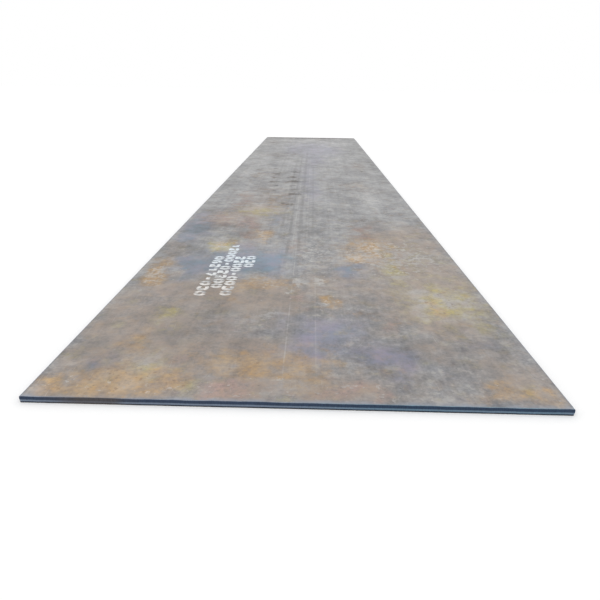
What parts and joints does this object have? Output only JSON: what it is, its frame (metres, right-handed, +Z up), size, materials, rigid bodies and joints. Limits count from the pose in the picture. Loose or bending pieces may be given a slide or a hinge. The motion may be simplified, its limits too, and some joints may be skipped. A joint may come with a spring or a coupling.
{
  "type": "steel plate",
  "caption": "Long flat hot-rolled steel plate with sheared edges, mill scale and light rust; raw stock to be cut, drilled or welded.",
  "frame": {"origin": "middle of the bottom face, on the floor that the plate lies on", "axes": "+X across the plate's width, +Y along its length, which is the rolling direction, +Z up through its thickness"},
  "size_m": [2.2, 12, 0.03],
  "materials": {
    "mill_scale_steel": "hot-rolled mill scale, blue-grey, with brown and ochre rust bloom"
  },
  "bodies": {
    "root": {"steel_plate": "mill_scale_steel"}
  },
  "joints": []
}
